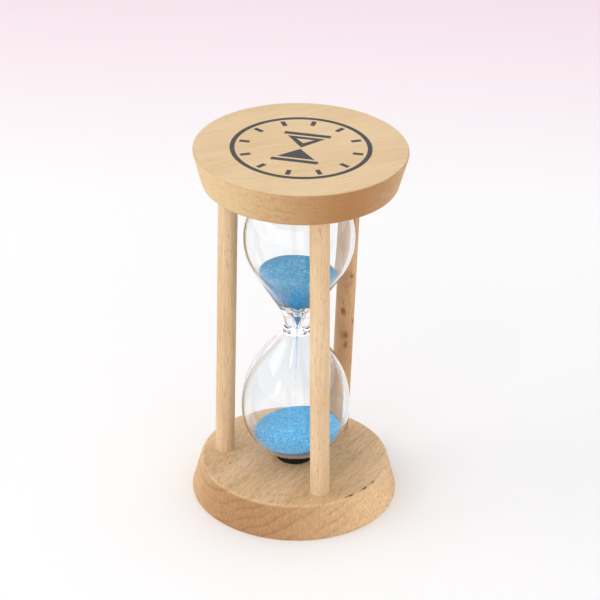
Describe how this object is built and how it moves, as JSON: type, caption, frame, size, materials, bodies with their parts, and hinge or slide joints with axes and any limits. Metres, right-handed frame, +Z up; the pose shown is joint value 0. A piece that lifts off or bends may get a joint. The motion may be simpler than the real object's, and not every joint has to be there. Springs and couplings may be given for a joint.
{
  "type": "hourglass",
  "caption": "Wooden sand timer: tapered discs joined by dowels round a blown double glass bulb with blue sand, held between soft pads.",
  "frame": {"origin": "centre of the outer face of the base disc, the face that the timer stands on", "axes": "+Z up through the middle of the glass; -Y is the front, where the dowel post_front stands"},
  "size_m": [0.055, 0.055, 0.1008],
  "materials": {
    "beech_base": "sanded, unvarnished",
    "beech_top": "sanded, unvarnished",
    "beech_posts": "sanded, unvarnished",
    "bulb_glass": "clear, fire polished",
    "pad_foam": "matte closed-cell foam",
    "blue_sand": "fine dry grains",
    "print_ink": "matte stamped ink"
  },
  "bodies": {
    "frame": {"base_disc": "beech_base", "top_disc": "beech_top", "post_front": "beech_posts", "post_right": "beech_posts", "post_left": "beech_posts", "base_pad": "pad_foam", "top_pad": "pad_foam", "face_print": "print_ink"},
    "bulb": {"glass_bulb": "bulb_glass", "sand_upper": "blue_sand", "sand_lower": "blue_sand", "sand_stream": "blue_sand"}
  },
  "joints": [
    {"name": "bulb_turn", "type": "hinge", "parent": "frame", "child": "bulb", "pos_m": [0, 0, 0.0504], "axis": [0, 0, 1], "continuous": true}
  ]
}
